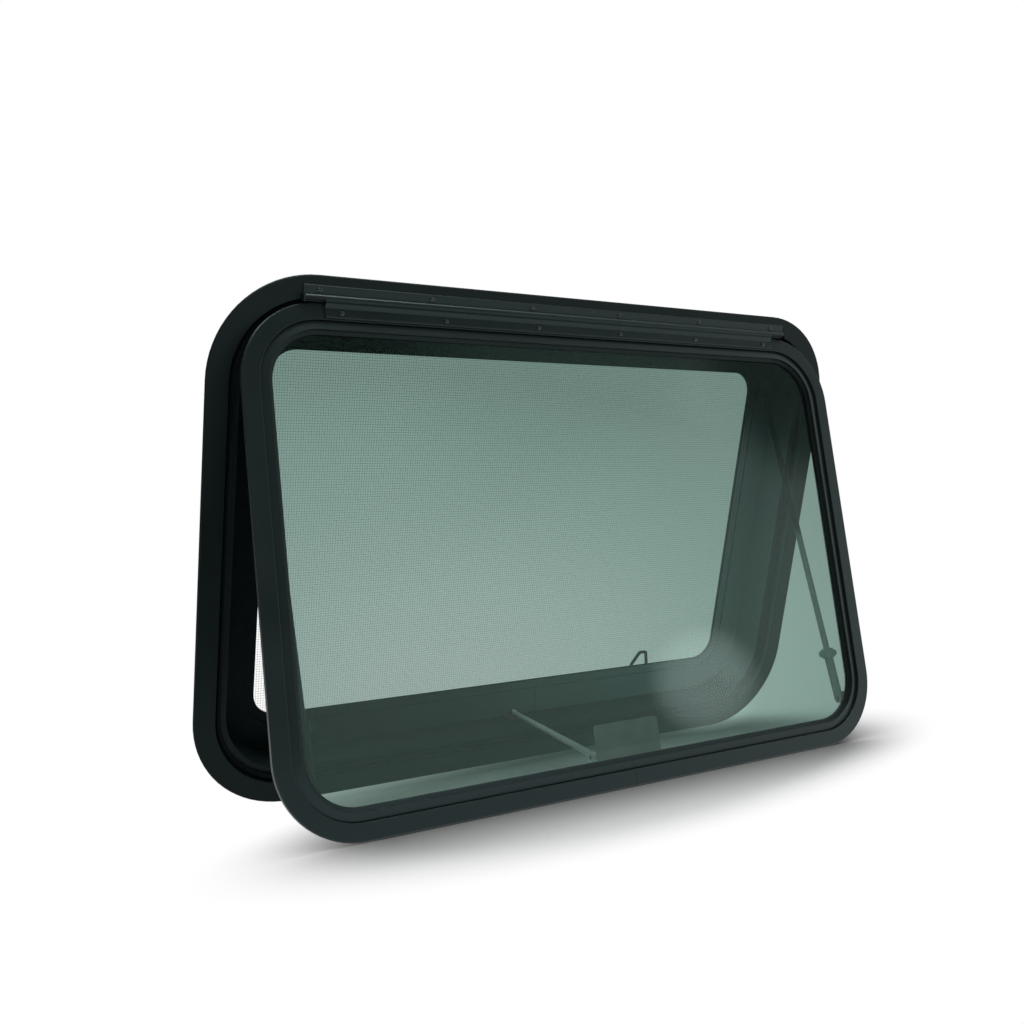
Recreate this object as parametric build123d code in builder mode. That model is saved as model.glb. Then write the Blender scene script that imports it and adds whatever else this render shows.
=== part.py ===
from build123d import *
import os
from math import cos, radians, sin

os.makedirs("parts", exist_ok=True)

# Top-hung caravan window, propped open. Millimetres, +Z up, +X to the right seen from outside,
# +Y into the caravan. Y = 0 is the back of the flange, where it beds on the caravan's skin,
# and the origin is in the middle of that bearing strip at the foot of the window.

# Outer frame: a flange, a recess for the sash, and a spigot that passes through the wall
WIDTH = 962
HEIGHT = 658
CORNER_RADIUS = 125
FLANGE_WIDTH = 24
FLANGE_THICKNESS = 3
WALL = 2
RECESS_DEPTH = 11
LANDING_WIDTH = 16
SPIGOT_DEPTH = 57
SCREW_RIB_WIDTH = 7
SCREW_RIB_DEPTH = 5
EDGE_CHAMFER = 1.2

# Clearance between assembled pieces, and the slit where a bent frame's ends meet
FIT = 0.3
SEAM = 0.4
FRAME_SEAM_X = 45
SASH_SEAM_X = 7

# Joint plates behind the two seams
FRAME_PLATE_LENGTH = 80
SASH_PLATE_LENGTH = 60
PLATE_MARGIN = 3
PLATE_THICKNESS = 1.6

# Bulb seal on the landing
SEAL_WIDTH = 7
SEAL_HEIGHT = 6.5
SEAL_OFFSET = 1.5
SEAL_SHOULDER = 2.2

# Inner trim ring, which clamps the wall from inside
CLAMPED_WALL = 42
TRIM_EDGE = 14
TRIM_OPENING = 80

# Insect screen, the clips that hold it and its pull
SCREEN_OVERLAP = 4
SCREEN_FRAME_WIDTH = 16
SCREEN_FRAME_DEPTH = 6
SPLINE_INSET = 4
SPLINE_WIDTH = 3.6
SPLINE_HEIGHT = 4
SPLINE_PROUD = 1
SCREEN_THICKNESS = 0.6
SCREEN_COLUMNS = 6
SCREEN_ROWS = 4
SCREEN_BAR = 2.4
CLIP_WIDTH = 14
CLIP_FOOT = 14
CLIP_TOE = 3.5
CLIP_INSET = 241
PULL_INSET = 240
PULL_FOOT = 30
PULL_TOP = 12
PULL_LEAN = 5
PULL_HEIGHT = 22
PULL_HEEL = 3
PULL_STRIP = 4
PULL_THICKNESS = 3
PULL_BEND = 3

# Hinge: one leaf has a C socket all along, and the other a bead that turns in it
OPEN_ANGLE = 23.5
AXIS_BELOW_TOP = 26
AXIS_PROUD = 5.5
SOCKET_RADIUS = 4.5
SOCKET_WALL = 1.4
MOUTH_BACK_ANGLE = -66
MOUTH_FRONT_ANGLE = -185
LEAF_THICKNESS = 2
LEAF_BEVEL = 1.2
HINGE_INSET = 106
FRAME_LEAF_HEIGHT = 15
LEAF_STEP = 25
SASH_LEAF_START = 7.5
SASH_LEAF_HEIGHT = 13.5
NECK_THICKNESS = 1.5
NECK_LENGTH = 5.5
PLUG_HEAD = 2
PLUG_SHANK = 3.8

# Sash: bent frame, glazing bead, gasket and pane
SASH_GAP = 2.5
SASH_LIP = 7
SASH_DEPTH = 15
SASH_BAND = 20.5
SASH_REAR_END = 34
BEAD_WIDTH = 11
BEAD_FOOT = 1.6
BEAD_LEG = 6
BEAD_SUNK = 3.4
BEAD_CREST = 1
GASKET_WALL = 1.8
GASKET_LIP = 2.4
GASKET_PROUD = 4.7
GLASS_THICKNESS = 4

# Telescopic stays, one at each side
STAY_INSET = 74.2
STAY_HEAD_BELOW_TOP = 117
STAY_HEAD_DEPTH = 47.5
STAY_FOOT_RISE = 60
STAY_FOOT_DEPTH = 22
ROD_DIAMETER = 9
SLEEVE_DIAMETER = 12.5
SLEEVE_LENGTH = 72
SLEEVE_SOLID = 18
ROD_OVERLAP = 42
COLLAR_SIDES = 8
COLLAR_WIDTH = 17
COLLAR_LENGTH = 14
COLLAR_RISE = 2
WING_SPAN = 34
WING_LENGTH = 9
WING_THICKNESS = 3.5
WING_CORNER = 2.5
EYE_RADIUS = 6.5
EYE_THICKNESS = 4
EYE_NECK = 12
BRACKET_THICKNESS = 2
FRAME_BRACKET_LENGTH = 30
FRAME_BRACKET_WIDTH = 16
SASH_BRACKET_LENGTH = 20
SASH_BRACKET_WIDTH = 18

# Prop arm: pivots on the sash's bottom rail and drops into a keeper at the foot of the frame
ARM_FOOT_X = -35
ARM_FOOT_RISE = 40.9
ARM_FOOT_DEPTH = 22
ARM_HEAD_X = 3
ARM_HEAD_DEPTH = 48
ARM_HEAD_RISE = 8
ARM_FOOT_WIDTH = 12
ARM_HEAD_WIDTH = 7.5
ARM_THICKNESS = 3
ARM_BARREL = 8
ARM_EAR = 2
ARM_EAR_RADIUS = 5
ARM_BASE_LENGTH = 28
KEEPER_BASE_LENGTH = 20
KEEPER_BASE_WIDTH = 16

# Places worked out from the sizes above. Depths are taken inward from the front of the flange.
FOOT_Z = -FLANGE_WIDTH / 2
CENTRE_Z = FOOT_Z + HEIGHT / 2
TOP_Z = FOOT_Z + HEIGHT
FRONT_Y = -FLANGE_THICKNESS
RECESS_EDGE = FLANGE_WIDTH + WALL
TUNNEL_EDGE = FLANGE_WIDTH + LANDING_WIDTH
TUNNEL_SIGHT = TUNNEL_EDGE + WALL
RIB_EDGE = TUNNEL_SIGHT - SCREW_RIB_WIDTH
SPIGOT_END = FLANGE_THICKNESS + SPIGOT_DEPTH
RIB_START = SPIGOT_END - SCREW_RIB_DEPTH
CLAMP_DEPTH = FLANGE_THICKNESS + CLAMPED_WALL
TRIM_BACK = SPIGOT_END + WALL
SCREEN_EDGE = TRIM_OPENING - SCREEN_OVERLAP
SCREEN_SIGHT = SCREEN_EDGE + SCREEN_FRAME_WIDTH
SCREEN_BACK = TRIM_BACK + SCREEN_FRAME_DEPTH
GROOVE_EDGE = SCREEN_EDGE + SPLINE_INSET
GROOVE_END = GROOVE_EDGE + SPLINE_WIDTH + 2 * FIT
GROOVE_DEPTH = SPLINE_HEIGHT - SPLINE_PROUD
CLIP_X = WIDTH / 2 - CLIP_INSET
PULL_X = WIDTH / 2 - PULL_INSET
FRAME_LEAF_LENGTH = WIDTH - 2 * HINGE_INSET
SASH_LEAF_LENGTH = FRAME_LEAF_LENGTH - 2 * LEAF_STEP
SASH_EDGE = RECESS_EDGE + SASH_GAP
SASH_WIDTH = WIDTH - 2 * SASH_EDGE
SASH_HEIGHT = HEIGHT - 2 * SASH_EDGE
SASH_RADIUS = CORNER_RADIUS - SASH_EDGE
SASH_TOP_DOWN = SASH_EDGE - AXIS_BELOW_TOP
SASH_FOOT_DOWN = SASH_TOP_DOWN + SASH_HEIGHT
SASH_CENTRE_DOWN = SASH_TOP_DOWN + SASH_HEIGHT / 2
SASH_REAR_WIDTH = SASH_REAR_END - SASH_BAND + WALL
GLASS_SEAT = SASH_DEPTH - WALL
GLASS_BACK = GLASS_SEAT - GASKET_WALL
GLASS_FRONT = GLASS_BACK - GLASS_THICKNESS
GASKET_FRONT = GLASS_FRONT - GASKET_LIP
BEAD_EDGE = SASH_BAND + FIT
BEAD_SIGHT = BEAD_EDGE + BEAD_WIDTH
GASKET_EDGE = BEAD_EDGE + BEAD_FOOT + FIT
GASKET_SIGHT = BEAD_SIGHT + GASKET_PROUD
GLASS_EDGE = GASKET_EDGE + GASKET_WALL + FIT
BEAD_RADIUS = SOCKET_RADIUS - SOCKET_WALL - FIT
STAY_X = WIDTH / 2 - STAY_INSET
STAY_FOOT_DOWN = SASH_FOOT_DOWN - STAY_FOOT_RISE
ARM_FOOT_DOWN = SASH_FOOT_DOWN - ARM_FOOT_RISE

# The frame's own plane faces outward, and the sash's plane is that one turned about the hinge axis
X_AXIS = Vector(1, 0, 0)
Z_AXIS = Vector(0, 0, 1)
AXIS = Vector(0, FRONT_Y - AXIS_PROUD, TOP_Z - AXIS_BELOW_TOP)
OUTWARD = Vector(0, -cos(radians(OPEN_ANGLE)), sin(radians(OPEN_ANGLE)))
DOWN = Vector(0, -sin(radians(OPEN_ANGLE)), -cos(radians(OPEN_ANGLE)))
FRAME = Plane(origin=(0, FRONT_Y, 0), x_dir=X_AXIS, z_dir=(0, -1, 0))
SASH = Plane(origin=AXIS - OUTWARD * AXIS_PROUD, x_dir=X_AXIS, z_dir=OUTWARD)


def frame_point(x, z, depth):
    """A point of the frame: across, up, and in from the flange's front."""
    return Vector(x, FRONT_Y + depth, z)


def sash_point(x, down, depth):
    """A point of the sash: across, down from the hinge axis, and in from the sash's front."""
    return SASH.origin + X_AXIS * x + DOWN * down - OUTWARD * depth


def ring_path(base, width, height, radius, centre, seam_x):
    """Outline of a bent frame, from one side of the seam at its foot round to the other."""
    half = width / 2
    low = centre - height / 2
    high = centre + height / 2
    with BuildLine(base) as path:
        FilletPolyline(
            (seam_x + SEAM / 2, low), (half, low), (half, high),
            (-half, high), (-half, low), (seam_x - SEAM / 2, low),
            radius=radius,
        )
    return path.wire()


def section_plane(base, foot, seam_x):
    """Plane across a bent frame at its seam: inset from the outline, then depth."""
    origin = base.from_local_coords(Vector(seam_x + SEAM / 2, foot, 0))
    return Plane(origin=origin, x_dir=base.y_dir, z_dir=-X_AXIS)


def write(piece, name):
    """Label a finished piece and write it to its own file."""
    piece.part.label = name
    export_step(piece.part, f"parts/{name}.step")


FRAME_PATH = ring_path(FRAME, WIDTH, HEIGHT, CORNER_RADIUS, CENTRE_Z, FRAME_SEAM_X)
FRAME_SECTION = section_plane(FRAME, FOOT_Z, FRAME_SEAM_X)
SASH_PATH = ring_path(SASH, SASH_WIDTH, SASH_HEIGHT, SASH_RADIUS, -SASH_CENTRE_DOWN, SASH_SEAM_X)
SASH_SECTION = section_plane(SASH, -SASH_FOOT_DOWN, SASH_SEAM_X)

# Outer frame, one extrusion bent round four corners
with BuildPart() as outer_frame:
    with BuildSketch(FRAME_SECTION) as section:
        with BuildLine():
            Polyline(
                (0, 0), (RECESS_EDGE, 0), (RECESS_EDGE, RECESS_DEPTH), (TUNNEL_SIGHT, RECESS_DEPTH),
                (TUNNEL_SIGHT, SPIGOT_END), (RIB_EDGE, SPIGOT_END), (RIB_EDGE, RIB_START),
                (TUNNEL_EDGE, RIB_START), (TUNNEL_EDGE, RECESS_DEPTH + WALL),
                (FLANGE_WIDTH, RECESS_DEPTH + WALL), (FLANGE_WIDTH, FLANGE_THICKNESS),
                (0, FLANGE_THICKNESS),
                close=True,
            )
        make_face()
        chamfer(section.vertices().sort_by_distance((0, 0))[0], length=EDGE_CHAMFER)
    sweep(path=FRAME_PATH)
write(outer_frame, "outer_frame")

# Joint plate on the wall side of the spigot, across the frame's seam
plate_start = RECESS_DEPTH + WALL + PLATE_MARGIN
plate_end = RIB_START - PLATE_MARGIN
PLATE_SEAT = Plane(
    origin=frame_point(FRAME_SEAM_X, FOOT_Z + TUNNEL_EDGE, (plate_start + plate_end) / 2),
    x_dir=X_AXIS, z_dir=(0, 0, -1),
)
with BuildPart() as frame_joint_plate:
    with BuildSketch(PLATE_SEAT):
        Rectangle(FRAME_PLATE_LENGTH, plate_end - plate_start)
    extrude(amount=PLATE_THICKNESS)
write(frame_joint_plate, "frame_joint_plate")

# Bulb seal that the closed sash presses on
with BuildPart() as frame_seal:
    with BuildSketch(FRAME_SECTION) as section:
        seal_centre = RECESS_EDGE + SEAL_OFFSET + SEAL_WIDTH / 2
        with Locations((seal_centre, RECESS_DEPTH - SEAL_HEIGHT / 2)):
            Rectangle(SEAL_WIDTH, SEAL_HEIGHT)
        chamfer(section.vertices().group_by(Axis.Y)[0], length=SEAL_SHOULDER)
    sweep(path=FRAME_PATH)
write(frame_seal, "frame_seal")

# Inner trim ring: a clamp flange, a collar round the spigot and a broad face round the opening
with BuildPart() as inner_trim_ring:
    with BuildSketch(FRAME_SECTION):
        with BuildLine():
            collar = RIB_EDGE - FIT
            Polyline(
                (TRIM_EDGE, CLAMP_DEPTH), (collar, CLAMP_DEPTH), (collar, SPIGOT_END),
                (TRIM_OPENING, SPIGOT_END), (TRIM_OPENING, TRIM_BACK), (collar - WALL, TRIM_BACK),
                (collar - WALL, CLAMP_DEPTH + WALL), (TRIM_EDGE, CLAMP_DEPTH + WALL),
                close=True,
            )
        make_face()
    sweep(path=FRAME_PATH)
write(inner_trim_ring, "inner_trim_ring")

# Screen frame with a groove for the spline on its room side
with BuildPart() as screen_frame:
    with BuildSketch(FRAME_SECTION):
        with BuildLine():
            floor = SCREEN_BACK - GROOVE_DEPTH
            Polyline(
                (SCREEN_EDGE, TRIM_BACK), (SCREEN_SIGHT, TRIM_BACK), (SCREEN_SIGHT, SCREEN_BACK),
                (GROOVE_END, SCREEN_BACK), (GROOVE_END, floor), (GROOVE_EDGE, floor),
                (GROOVE_EDGE, SCREEN_BACK), (SCREEN_EDGE, SCREEN_BACK),
                close=True,
            )
        make_face()
    sweep(path=FRAME_PATH)
write(screen_frame, "screen_frame")

# Rubber spline pressed into that groove
with BuildPart() as screen_spline:
    with BuildSketch(FRAME_SECTION):
        with Locations(((GROOVE_EDGE + GROOVE_END) / 2, SCREEN_BACK + SPLINE_PROUD - SPLINE_HEIGHT / 2)):
            Rectangle(SPLINE_WIDTH, SPLINE_HEIGHT)
    sweep(path=FRAME_PATH)
write(screen_spline, "screen_spline")

# Insect mesh: one thin sheet with a coarse grid of openings in place of the fine mesh
SHEET = Plane(origin=frame_point(0, CENTRE_Z, SCREEN_BACK), x_dir=X_AXIS, z_dir=(0, -1, 0))
with BuildPart() as insect_screen:
    inset = GROOVE_END + FIT
    with BuildSketch(SHEET):
        RectangleRounded(WIDTH - 2 * inset, HEIGHT - 2 * inset, CORNER_RADIUS - inset)
    extrude(amount=-SCREEN_THICKNESS)
    sight_width = WIDTH - 2 * SCREEN_SIGHT
    sight_height = HEIGHT - 2 * SCREEN_SIGHT
    column_pitch = sight_width / SCREEN_COLUMNS
    row_pitch = sight_height / SCREEN_ROWS
    with BuildSketch(SHEET):
        with GridLocations(column_pitch, row_pitch, SCREEN_COLUMNS, SCREEN_ROWS):
            Rectangle(column_pitch - SCREEN_BAR, row_pitch - SCREEN_BAR)
        RectangleRounded(sight_width, sight_height, CORNER_RADIUS - SCREEN_SIGHT, mode=Mode.INTERSECT)
    extrude(amount=-SCREEN_THICKNESS, mode=Mode.SUBTRACT)
write(insect_screen, "insect_screen")

# Four stepped clips that hold the screen frame to the trim ring
for row, foot, inward in (("top", TOP_Z, -1), ("bottom", FOOT_Z, 1)):
    for column, side in (("left", -1), ("right", 1)):
        origin = frame_point(side * CLIP_X, foot, 0)
        with BuildPart() as screen_clip:
            with BuildSketch(Plane(origin=origin, x_dir=(0, 0, inward), z_dir=(-inward, 0, 0))):
                with BuildLine():
                    heel = SCREEN_EDGE - FIT
                    over = SCREEN_BACK + FIT
                    Polyline(
                        (heel - CLIP_FOOT, TRIM_BACK), (heel, TRIM_BACK), (heel, over),
                        (SCREEN_EDGE + CLIP_TOE, over), (SCREEN_EDGE + CLIP_TOE, over + WALL),
                        (heel - WALL, over + WALL), (heel - WALL, TRIM_BACK + WALL),
                        (heel - CLIP_FOOT, TRIM_BACK + WALL),
                        close=True,
                    )
                make_face()
            extrude(amount=CLIP_WIDTH / 2, both=True)
        write(screen_clip, f"screen_clip_{row}_{column}")

# Pull for the screen, a bent strip that stands on the screen frame's lower rail
with BuildPart() as screen_pull:
    pull_plane = Plane(
        origin=frame_point(PULL_X, FOOT_Z + SCREEN_SIGHT, (TRIM_BACK + SCREEN_BACK) / 2),
        x_dir=X_AXIS, z_dir=(0, -1, 0),
    )
    with BuildSketch(pull_plane):
        with BuildLine():
            FilletPolyline(
                (-PULL_FOOT / 2, 0), (-PULL_FOOT / 2, PULL_HEEL), (PULL_LEAN - PULL_TOP / 2, PULL_HEIGHT),
                (PULL_LEAN + PULL_TOP / 2, PULL_HEIGHT), (PULL_FOOT / 2, PULL_HEEL), (PULL_FOOT / 2, 0),
                radius=PULL_BEND,
            )
        trace(line_width=PULL_STRIP)
    extrude(amount=PULL_THICKNESS / 2, both=True)
write(screen_pull, "screen_pull")

# Hinge leaf on the flange, with the C socket along its lower edge
with BuildPart() as hinge_frame_leaf:
    with BuildSketch(Plane(origin=AXIS, x_dir=(0, 1, 0), z_dir=X_AXIS)) as section:
        Circle(SOCKET_RADIUS)
        with Locations((AXIS_PROUD - LEAF_THICKNESS / 2, FRAME_LEAF_HEIGHT / 2)):
            Rectangle(LEAF_THICKNESS, FRAME_LEAF_HEIGHT)
        chamfer(section.vertices().group_by(Axis.Y)[-1].sort_by(Axis.X)[0], length=LEAF_BEVEL)
        Circle(SOCKET_RADIUS - SOCKET_WALL, mode=Mode.SUBTRACT)
        with BuildLine():
            reach = 3 * SOCKET_RADIUS
            middle = (MOUTH_BACK_ANGLE + MOUTH_FRONT_ANGLE) / 2
            mouth = [
                (reach * cos(radians(angle)), reach * sin(radians(angle)))
                for angle in (MOUTH_BACK_ANGLE, middle, MOUTH_FRONT_ANGLE)
            ]
            Polyline((0, 0), *mouth, close=True)
        make_face(mode=Mode.SUBTRACT)
    extrude(amount=FRAME_LEAF_LENGTH / 2, both=True)
write(hinge_frame_leaf, "hinge_frame_leaf")

# Hinge leaf on the sash, with the bead that turns in the socket
with BuildPart() as hinge_sash_leaf:
    with BuildSketch(Plane(origin=AXIS, x_dir=-OUTWARD, z_dir=X_AXIS)):
        Circle(BEAD_RADIUS)
        with BuildLine():
            face = AXIS_PROUD - LEAF_THICKNESS
            lower = -SASH_LEAF_START - SASH_LEAF_HEIGHT
            Polyline(
                (-NECK_THICKNESS / 2, 0), (-NECK_THICKNESS / 2, -NECK_LENGTH),
                (face, -SASH_LEAF_START - LEAF_THICKNESS), (face, lower + LEAF_BEVEL),
                (face + LEAF_BEVEL, lower), (AXIS_PROUD, lower), (AXIS_PROUD, -SASH_LEAF_START),
                (NECK_THICKNESS / 2, NECK_THICKNESS - NECK_LENGTH),
                (NECK_THICKNESS / 2, 0),
                close=True,
            )
        make_face()
    extrude(amount=SASH_LEAF_LENGTH / 2, both=True)
write(hinge_sash_leaf, "hinge_sash_leaf")

# Plugs that stop the bead sliding out of the socket
for name, side in (("left", -1), ("right", 1)):
    bead_end = side * (SASH_LEAF_LENGTH / 2 + FIT)
    socket_end = side * FRAME_LEAF_LENGTH / 2
    with BuildPart() as hinge_end_plug:
        with BuildSketch(Plane(origin=AXIS + X_AXIS * bead_end, z_dir=X_AXIS * side)):
            Rectangle(PLUG_SHANK, PLUG_SHANK)
        extrude(amount=abs(socket_end - bead_end))
        with BuildSketch(Plane(origin=AXIS + X_AXIS * socket_end, z_dir=X_AXIS * side)):
            Rectangle(2 * SOCKET_RADIUS, 2 * SOCKET_RADIUS)
        extrude(amount=PLUG_HEAD)
    write(hinge_end_plug, f"hinge_end_plug_{name}")

# Sash frame, one extrusion bent like the outer frame
with BuildPart() as sash_frame:
    with BuildSketch(SASH_SECTION) as section:
        with BuildLine():
            Polyline(
                (0, 0), (SASH_BAND, 0), (SASH_BAND, GLASS_SEAT), (SASH_REAR_END, GLASS_SEAT),
                (SASH_REAR_END, SASH_DEPTH), (SASH_BAND - WALL, SASH_DEPTH), (SASH_BAND - WALL, WALL),
                (WALL, WALL), (WALL, SASH_LIP), (0, SASH_LIP),
                close=True,
            )
        make_face()
        chamfer(section.vertices().sort_by_distance((0, 0))[0], length=EDGE_CHAMFER)
    sweep(path=SASH_PATH)
write(sash_frame, "sash_frame")

# Joint plate behind the sash's face, across its seam
plate_width = SASH_BAND - 2 * WALL - 2 * PLATE_MARGIN
plate_down = SASH_FOOT_DOWN - SASH_BAND / 2
with BuildPart() as sash_joint_plate:
    with BuildSketch(
        Plane(origin=sash_point(SASH_SEAM_X, plate_down, WALL), x_dir=X_AXIS, z_dir=-OUTWARD)
    ):
        Rectangle(SASH_PLATE_LENGTH, plate_width)
    extrude(amount=PLATE_THICKNESS)
write(sash_joint_plate, "sash_joint_plate")

# Glazing bead: a leg along the sash's band, and a face that rises from a groove there to a crest by the glass
with BuildPart() as glazing_bead:
    with BuildSketch(SASH_SECTION):
        with BuildLine():
            heel = BEAD_EDGE + BEAD_FOOT
            Polyline(
                (BEAD_EDGE, BEAD_SUNK), (BEAD_SIGHT, BEAD_CREST), (BEAD_SIGHT, GASKET_FRONT),
                (heel, GASKET_FRONT), (heel, BEAD_SUNK + BEAD_LEG), (BEAD_EDGE, BEAD_SUNK + BEAD_LEG),
                close=True,
            )
        make_face()
    sweep(path=SASH_PATH)
write(glazing_bead, "glazing_bead")

# Rubber channel round the pane's edge, with a lip that slopes down to the glass
with BuildPart() as glazing_gasket:
    with BuildSketch(SASH_SECTION):
        with BuildLine():
            throat = GASKET_EDGE + GASKET_WALL
            Polyline(
                (GASKET_EDGE, GASKET_FRONT), (BEAD_SIGHT, GASKET_FRONT), (GASKET_SIGHT, GLASS_FRONT),
                (throat, GLASS_FRONT), (throat, GLASS_BACK), (GASKET_SIGHT, GLASS_BACK),
                (GASKET_SIGHT, GLASS_SEAT), (GASKET_EDGE, GLASS_SEAT),
                close=True,
            )
        make_face()
    sweep(path=SASH_PATH)
write(glazing_gasket, "glazing_gasket")

# Pane
with BuildPart() as glass_pane:
    with BuildSketch(
        Plane(origin=sash_point(0, SASH_CENTRE_DOWN, GLASS_FRONT), x_dir=X_AXIS, z_dir=OUTWARD)
    ):
        RectangleRounded(SASH_WIDTH - 2 * GLASS_EDGE, SASH_HEIGHT - 2 * GLASS_EDGE, SASH_RADIUS - GLASS_EDGE)
    extrude(amount=-GLASS_THICKNESS)
write(glass_pane, "glass_pane")


def stay_plane(foot, along, up):
    """Plane square to a stay, a set distance up from its foot."""
    return Plane(origin=foot + along * up, x_dir=X_AXIS, z_dir=along)


# Stays: a rod hung from the frame slides in a sleeve that stands on the sash
stay_head_z = TOP_Z - STAY_HEAD_BELOW_TOP
for name, side in (("left", -1), ("right", 1)):
    head = frame_point(side * STAY_X, stay_head_z, FLANGE_THICKNESS + STAY_HEAD_DEPTH)
    foot = sash_point(side * STAY_X, STAY_FOOT_DOWN, STAY_FOOT_DEPTH)
    along = (head - foot).normalized()
    length = (head - foot).length
    ear_x = side * (STAY_X + EYE_THICKNESS / 2)

    # Rod, flattened at its head
    rod_start = SLEEVE_LENGTH - ROD_OVERLAP
    with BuildPart() as stay_rod:
        with BuildSketch(stay_plane(foot, along, rod_start)):
            Circle(ROD_DIAMETER / 2)
        extrude(amount=length - EYE_NECK - rod_start)
        with BuildSketch(Plane(origin=head, x_dir=-along, z_dir=X_AXIS)):
            Circle(EYE_RADIUS)
            with Locations((2 * EYE_NECK, 0)):
                Rectangle(ROD_DIAMETER, ROD_DIAMETER)
            make_hull()
        extrude(amount=EYE_THICKNESS / 2, both=True)
    write(stay_rod, f"stay_rod_{name}")

    # Sleeve, flattened at its foot and bored for the rod
    with BuildPart() as stay_sleeve:
        with BuildSketch(stay_plane(foot, along, EYE_NECK)):
            Circle(SLEEVE_DIAMETER / 2)
        extrude(amount=SLEEVE_LENGTH - EYE_NECK)
        with BuildSketch(Plane(origin=foot, x_dir=along, z_dir=X_AXIS)):
            Circle(EYE_RADIUS)
            with Locations((EYE_NECK, 0)):
                Rectangle(SLEEVE_DIAMETER / 2, SLEEVE_DIAMETER)
            make_hull()
        extrude(amount=EYE_THICKNESS / 2, both=True)
        with BuildSketch(stay_plane(foot, along, SLEEVE_SOLID)):
            Circle(ROD_DIAMETER / 2 + FIT)
        extrude(amount=SLEEVE_LENGTH - SLEEVE_SOLID, mode=Mode.SUBTRACT)
    write(stay_sleeve, f"stay_sleeve_{name}")

    # Locking nut with two wings on opposite flats
    collar_start = SLEEVE_LENGTH + COLLAR_RISE - COLLAR_LENGTH
    wing_centre = foot + along * (collar_start + COLLAR_LENGTH / 2)
    with BuildPart() as stay_collar:
        with BuildSketch(stay_plane(foot, along, collar_start)):
            RegularPolygon(COLLAR_WIDTH / 2, COLLAR_SIDES, major_radius=False, rotation=180 / COLLAR_SIDES)
        extrude(amount=COLLAR_LENGTH)
        with BuildSketch(Plane(origin=wing_centre, x_dir=X_AXIS, z_dir=X_AXIS.cross(along))) as wings:
            Rectangle(WING_SPAN, WING_LENGTH)
            chamfer(wings.vertices(), length=WING_CORNER)
        extrude(amount=WING_THICKNESS / 2, both=True)
        with BuildSketch(stay_plane(foot, along, collar_start)):
            Circle(SLEEVE_DIAMETER / 2 + FIT / 2)
        extrude(amount=COLLAR_LENGTH, mode=Mode.SUBTRACT)
    write(stay_collar, f"stay_collar_{name}")

    # Bracket on the trim ring's face, with the ear that the rod is riveted to
    with BuildPart() as stay_frame_bracket:
        lip = frame_point(ear_x + side * FRAME_BRACKET_WIDTH / 2, stay_head_z, SPIGOT_END)
        with BuildSketch(Plane(origin=lip, x_dir=X_AXIS, z_dir=(0, -1, 0))):
            Rectangle(FRAME_BRACKET_WIDTH, FRAME_BRACKET_LENGTH)
        extrude(amount=BRACKET_THICKNESS)
        with BuildSketch(Plane(origin=Vector(ear_x, head.Y, head.Z), x_dir=(0, 1, 0), z_dir=X_AXIS * side)):
            Circle(EYE_RADIUS)
            with Locations(((SPIGOT_DEPTH - STAY_HEAD_DEPTH) / 2, 0)):
                Rectangle(SPIGOT_DEPTH - STAY_HEAD_DEPTH, 2 * EYE_RADIUS)
        extrude(amount=BRACKET_THICKNESS)
    write(stay_frame_bracket, f"stay_frame_bracket_{name}")

    # Bracket on the back of the sash, with the ear that the sleeve is riveted to
    with BuildPart() as stay_sash_bracket:
        base = sash_point(ear_x + side * SASH_BRACKET_WIDTH / 2, STAY_FOOT_DOWN, SASH_DEPTH)
        with BuildSketch(Plane(origin=base, x_dir=X_AXIS, z_dir=-OUTWARD)):
            Rectangle(SASH_BRACKET_WIDTH, SASH_BRACKET_LENGTH)
        extrude(amount=BRACKET_THICKNESS)
        ear = sash_point(ear_x, STAY_FOOT_DOWN, STAY_FOOT_DEPTH)
        with BuildSketch(Plane(origin=ear, x_dir=OUTWARD, z_dir=X_AXIS * side)):
            Circle(EYE_RADIUS)
            with Locations(((STAY_FOOT_DEPTH - SASH_DEPTH) / 2, 0)):
                Rectangle(STAY_FOOT_DEPTH - SASH_DEPTH, 2 * EYE_RADIUS)
        extrude(amount=BRACKET_THICKNESS)
    write(stay_sash_bracket, f"stay_sash_bracket_{name}")

# Prop arm, a tapered flat bar with a barrel at each end
sill_z = FOOT_Z + TUNNEL_SIGHT
arm_foot = sash_point(ARM_FOOT_X, ARM_FOOT_DOWN, ARM_FOOT_DEPTH)
arm_head = frame_point(ARM_HEAD_X, sill_z + ARM_HEAD_RISE, FLANGE_THICKNESS + ARM_HEAD_DEPTH)
arm_along = (arm_head - arm_foot).normalized()
arm_across = (X_AXIS - arm_along * X_AXIS.dot(arm_along)).normalized()
arm_length = (arm_head - arm_foot).length
with BuildPart() as prop_arm:
    with BuildSketch(Plane(origin=arm_foot, x_dir=arm_along, z_dir=arm_across.cross(arm_along))):
        with BuildLine():
            Polyline(
                (0, -ARM_FOOT_WIDTH / 2), (arm_length, -ARM_HEAD_WIDTH / 2),
                (arm_length, ARM_HEAD_WIDTH / 2), (0, ARM_FOOT_WIDTH / 2),
                close=True,
            )
        make_face()
    extrude(amount=ARM_THICKNESS / 2, both=True)
    for end, width in ((arm_foot, ARM_FOOT_WIDTH), (arm_head, ARM_HEAD_WIDTH)):
        with BuildSketch(Plane(origin=end, x_dir=arm_along, z_dir=arm_across)):
            Circle(ARM_BARREL / 2)
        extrude(amount=width / 2, both=True)
write(prop_arm, "prop_arm")


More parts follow.
